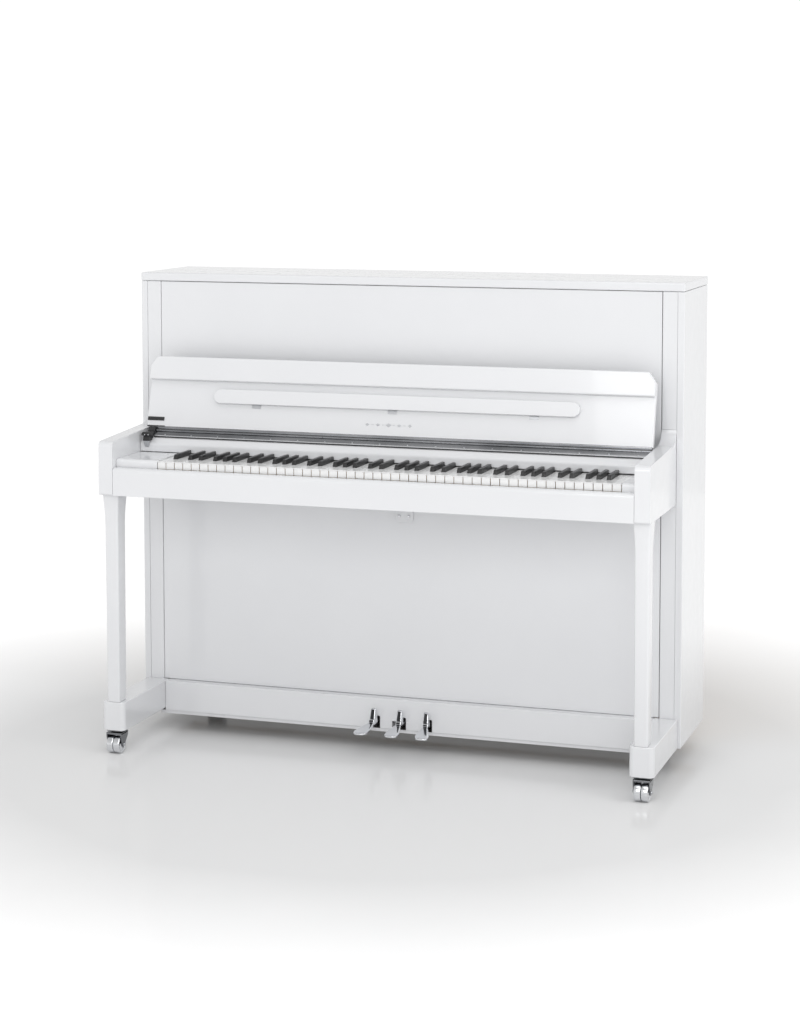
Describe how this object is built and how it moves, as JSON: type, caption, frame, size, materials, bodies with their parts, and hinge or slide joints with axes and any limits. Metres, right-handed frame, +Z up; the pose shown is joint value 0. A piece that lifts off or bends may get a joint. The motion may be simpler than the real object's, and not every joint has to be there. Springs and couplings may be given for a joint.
{
  "type": "upright piano",
  "caption": "Upright piano in white gloss lacquer: hinged lid, open fallboard with fold-down music ledge, sprung keys, working pedals and double-wheel casters",
  "frame": {"origin": "on the floor, midway across the width and the depth of the piano", "axes": "+X to the player's right, +Y to the back of the piano, +Z up; the keyboard faces -Y"},
  "size_m": [1.49, 0.615, 1.25],
  "materials": {
    "lacquer": "high gloss white polyester lacquer on wood",
    "ivory_plastic": "polished key tops",
    "ebony_plastic": "satin black",
    "chrome": "polished",
    "black_plastic": "satin black",
    "spruce": "clear satin",
    "maple": "sanded",
    "cast_iron": "bronze paint",
    "steel": "drawn wire",
    "felt": "wool felt"
  },
  "bodies": {
    "case": {"side_board_left": "lacquer", "side_board_right": "lacquer", "arm_left": "lacquer", "arm_right": "lacquer", "leg_left": "lacquer", "leg_right": "lacquer", "toe_left": "lacquer", "toe_right": "lacquer", "key_bed": "maple", "key_slip": "lacquer", "key_block_left": "lacquer", "key_block_right": "lacquer", "name_board": "lacquer", "upper_panel": "lacquer", "bottom_rail": "lacquer", "bottom_board": "maple", "fallboard_hinge": "chrome", "fallboard_damper": "black_plastic", "back_frame": "spruce", "soundboard": "spruce", "iron_plate": "cast_iron", "string_set": "steel", "action_frame": "maple"},
    "lid": {"top_lid": "lacquer"},
    "fallboard": {"fallboard": "lacquer"},
    "fallboard_nose": {"fallboard_nose": "lacquer"},
    "music_ledge": {"music_ledge": "lacquer"},
    "lower_panel": {"lower_panel": "lacquer"},
    "keys_bass": {"keys_bass": "ivory_plastic"},
    "keys_treble": {"keys_treble": "ivory_plastic"},
    "key_c": {"key_c": "ivory_plastic"},
    "key_d": {"key_d": "ivory_plastic"},
    "key_e": {"key_e": "ivory_plastic"},
    "key_f": {"key_f": "ivory_plastic"},
    "key_g": {"key_g": "ivory_plastic"},
    "key_a": {"key_a": "ivory_plastic"},
    "key_b": {"key_b": "ivory_plastic"},
    "key_c_sharp": {"key_c_sharp": "ebony_plastic"},
    "key_d_sharp": {"key_d_sharp": "ebony_plastic"},
    "key_f_sharp": {"key_f_sharp": "ebony_plastic"},
    "key_g_sharp": {"key_g_sharp": "ebony_plastic"},
    "key_a_sharp": {"key_a_sharp": "ebony_plastic"},
    "pedal_left": {"pedal_left": "chrome"},
    "pedal_rod_left": {"pedal_rod_left": "maple"},
    "pedal_middle": {"pedal_middle": "chrome"},
    "pedal_rod_middle": {"pedal_rod_middle": "maple"},
    "pedal_right": {"pedal_right": "chrome"},
    "pedal_rod_right": {"pedal_rod_right": "maple"},
    "hammer_set": {"hammer_set": "felt"},
    "damper_set": {"damper_set": "felt"},
    "muffler_rail": {"muffler_rail": "felt"},
    "caster_front_left": {"caster_frame_front_left": "chrome"},
    "wheels_front_left": {"caster_wheels_front_left": "chrome"},
    "caster_front_right": {"caster_frame_front_right": "chrome"},
    "wheels_front_right": {"caster_wheels_front_right": "chrome"},
    "caster_rear_left": {"caster_frame_rear_left": "chrome"},
    "wheels_rear_left": {"caster_wheels_rear_left": "chrome"},
    "caster_rear_right": {"caster_frame_rear_right": "chrome"},
    "wheels_rear_right": {"caster_wheels_rear_right": "chrome"}
  },
  "joints": [
    {"name": "lid_hinge", "type": "hinge", "parent": "case", "child": "lid", "pos_m": [0, 0.3075, 1.2278], "axis": [-1, 0, 0], "range_deg": [0, 95]},
    {"name": "fallboard_hinge_turn", "type": "hinge", "parent": "case", "child": "fallboard", "pos_m": [0, -0.102, 0.8355], "axis": [1, 0, 0], "range_deg": [0, 105]},
    {"name": "nose_hinge", "type": "hinge", "parent": "fallboard", "child": "fallboard_nose", "pos_m": [0, -0.04721, 1.02708], "axis": [-1, 0, 0], "range_deg": [0, 90]},
    {"name": "ledge_hinge", "type": "hinge", "parent": "fallboard", "child": "music_ledge", "pos_m": [0, -0.0812, 0.90988], "axis": [1, 0, 0], "range_deg": [0, 95]},
    {"name": "lower_panel_tilt", "type": "hinge", "parent": "case", "child": "lower_panel", "pos_m": [0, 0.0035, 0.1385], "axis": [1, 0, 0], "range_deg": [0, 18]},
    {"name": "keys_bass_press", "type": "hinge", "parent": "case", "child": "keys_bass", "pos_m": [0, -0.05, 0.7605], "axis": [1, 0, 0], "range_deg": [0, 2.44], "stiffness_Nm_per_rad": 45, "springref_deg": -7.45},
    {"name": "keys_treble_press", "type": "hinge", "parent": "case", "child": "keys_treble", "pos_m": [0, -0.05, 0.7605], "axis": [1, 0, 0], "range_deg": [0, 2.44], "stiffness_Nm_per_rad": 43, "springref_deg": -7.45},
    {"name": "key_c_press", "type": "hinge", "parent": "case", "child": "key_c", "pos_m": [0, -0.05, 0.7605], "axis": [1, 0, 0], "range_deg": [0, 2.44], "stiffness_Nm_per_rad": 1.3, "springref_deg": -7.45},
    {"name": "key_d_press", "type": "hinge", "parent": "case", "child": "key_d", "pos_m": [0, -0.05, 0.7605], "axis": [1, 0, 0], "range_deg": [0, 2.44], "stiffness_Nm_per_rad": 1.3, "springref_deg": -7.45},
    {"name": "key_e_press", "type": "hinge", "parent": "case", "child": "key_e", "pos_m": [0, -0.05, 0.7605], "axis": [1, 0, 0], "range_deg": [0, 2.44], "stiffness_Nm_per_rad": 1.3, "springref_deg": -7.45},
    {"name": "key_f_press", "type": "hinge", "parent": "case", "child": "key_f", "pos_m": [0, -0.05, 0.7605], "axis": [1, 0, 0], "range_deg": [0, 2.44], "stiffness_Nm_per_rad": 1.3, "springref_deg": -7.45},
    {"name": "key_g_press", "type": "hinge", "parent": "case", "child": "key_g", "pos_m": [0, -0.05, 0.7605], "axis": [1, 0, 0], "range_deg": [0, 2.44], "stiffness_Nm_per_rad": 1.3, "springref_deg": -7.45},
    {"name": "key_a_press", "type": "hinge", "parent": "case", "child": "key_a", "pos_m": [0, -0.05, 0.7605], "axis": [1, 0, 0], "range_deg": [0, 2.44], "stiffness_Nm_per_rad": 1.3, "springref_deg": -7.45},
    {"name": "key_b_press", "type": "hinge", "parent": "case", "child": "key_b", "pos_m": [0, -0.05, 0.7605], "axis": [1, 0, 0], "range_deg": [0, 2.44], "stiffness_Nm_per_rad": 1.3, "springref_deg": -7.45},
    {"name": "key_c_sharp_press", "type": "hinge", "parent": "case", "child": "key_c_sharp", "pos_m": [0, -0.05, 0.7605], "axis": [1, 0, 0], "range_deg": [0, 2.44], "stiffness_Nm_per_rad": 0.8, "springref_deg": -7.45},
    {"name": "key_d_sharp_press", "type": "hinge", "parent": "case", "child": "key_d_sharp", "pos_m": [0, -0.05, 0.7605], "axis": [1, 0, 0], "range_deg": [0, 2.44], "stiffness_Nm_per_rad": 0.8, "springref_deg": -7.45},
    {"name": "key_f_sharp_press", "type": "hinge", "parent": "case", "child": "key_f_sharp", "pos_m": [0, -0.05, 0.7605], "axis": [1, 0, 0], "range_deg": [0, 2.44], "stiffness_Nm_per_rad": 0.8, "springref_deg": -7.45},
    {"name": "key_g_sharp_press", "type": "hinge", "parent": "case", "child": "key_g_sharp", "pos_m": [0, -0.05, 0.7605], "axis": [1, 0, 0], "range_deg": [0, 2.44], "stiffness_Nm_per_rad": 0.8, "springref_deg": -7.45},
    {"name": "key_a_sharp_press", "type": "hinge", "parent": "case", "child": "key_a_sharp", "pos_m": [0, -0.05, 0.7605], "axis": [1, 0, 0], "range_deg": [0, 2.44], "stiffness_Nm_per_rad": 0.8, "springref_deg": -7.45},
    {"name": "pedal_left_press", "type": "hinge", "parent": "case", "child": "pedal_left", "pos_m": [-0.064, 0.035, 0.098], "axis": [1, 0, 0], "range_deg": [0, 7], "stiffness_Nm_per_rad": 10, "springref_deg": -8.59},
    {"name": "rod_left_lift", "type": "slide", "parent": "case", "child": "pedal_rod_left", "axis": [0, 0, 1], "range_m": [0, 0.0095]},
    {"name": "pedal_middle_press", "type": "hinge", "parent": "case", "child": "pedal_middle", "pos_m": [0.008, 0.035, 0.098], "axis": [1, 0, 0], "range_deg": [0, 7], "stiffness_Nm_per_rad": 10, "springref_deg": -8.59},
    {"name": "rod_middle_lift", "type": "slide", "parent": "case", "child": "pedal_rod_middle", "axis": [0, 0, 1], "range_m": [0, 0.0095]},
    {"name": "pedal_right_press", "type": "hinge", "parent": "case", "child": "pedal_right", "pos_m": [0.08, 0.035, 0.098], "axis": [1, 0, 0], "range_deg": [0, 7], "stiffness_Nm_per_rad": 10, "springref_deg": -8.59},
    {"name": "rod_right_lift", "type": "slide", "parent": "case", "child": "pedal_rod_right", "axis": [0, 0, 1], "range_m": [0, 0.0095]},
    {"name": "hammer_rest_turn", "type": "hinge", "parent": "case", "child": "hammer_set", "pos_m": [0, 0.1, 0.897], "axis": [-1, 0, 0], "range_deg": [0, 8]},
    {"name": "damper_lift_turn", "type": "hinge", "parent": "case", "child": "damper_set", "pos_m": [0, 0.124, 0.879], "axis": [1, 0, 0], "range_deg": [0, 3]},
    {"name": "muffler_drop", "type": "slide", "parent": "case", "child": "muffler_rail", "axis": [0, 0, -1], "range_m": [0, 0.025]},
    {"name": "caster_front_left_swivel", "type": "hinge", "parent": "case", "child": "caster_front_left", "pos_m": [-0.705, -0.254, 0.0622], "axis": [0, 0, 1], "continuous": true},
    {"name": "wheels_front_left_spin", "type": "hinge", "parent": "caster_front_left", "child": "wheels_front_left", "pos_m": [-0.705, -0.266, 0.0235], "axis": [1, 0, 0], "continuous": true},
    {"name": "caster_front_right_swivel", "type": "hinge", "parent": "case", "child": "caster_front_right", "pos_m": [0.705, -0.254, 0.0622], "axis": [0, 0, 1], "continuous": true},
    {"name": "wheels_front_right_spin", "type": "hinge", "parent": "caster_front_right", "child": "wheels_front_right", "pos_m": [0.705, -0.266, 0.0235], "axis": [1, 0, 0], "continuous": true},
    {"name": "caster_rear_left_swivel", "type": "hinge", "parent": "case", "child": "caster_rear_left", "pos_m": [-0.64, 0.262, 0.0622], "axis": [0, 0, 1], "continuous": true},
    {"name": "wheels_rear_left_spin", "type": "hinge", "parent": "caster_rear_left", "child": "wheels_rear_left", "pos_m": [-0.64, 0.25, 0.0235], "axis": [1, 0, 0], "continuous": true},
    {"name": "caster_rear_right_swivel", "type": "hinge", "parent": "case", "child": "caster_rear_right", "pos_m": [0.64, 0.262, 0.0622], "axis": [0, 0, 1], "continuous": true},
    {"name": "wheels_rear_right_spin", "type": "hinge", "parent": "caster_rear_right", "child": "wheels_rear_right", "pos_m": [0.64, 0.25, 0.0235], "axis": [1, 0, 0], "continuous": true}
  ],
  "couplings": [
    {"joint": "rod_left_lift", "follows": "pedal_left_press", "m_per_rad": 0.07612},
    {"joint": "rod_middle_lift", "follows": "pedal_middle_press", "m_per_rad": 0.07612},
    {"joint": "rod_right_lift", "follows": "pedal_right_press", "m_per_rad": 0.07612},
    {"joint": "hammer_rest_turn", "follows": "pedal_left_press", "ratio": 1.0714},
    {"joint": "damper_lift_turn", "follows": "pedal_right_press", "ratio": 0.4},
    {"joint": "muffler_drop", "follows": "pedal_middle_press", "m_per_rad": 0.19644}
  ]
}
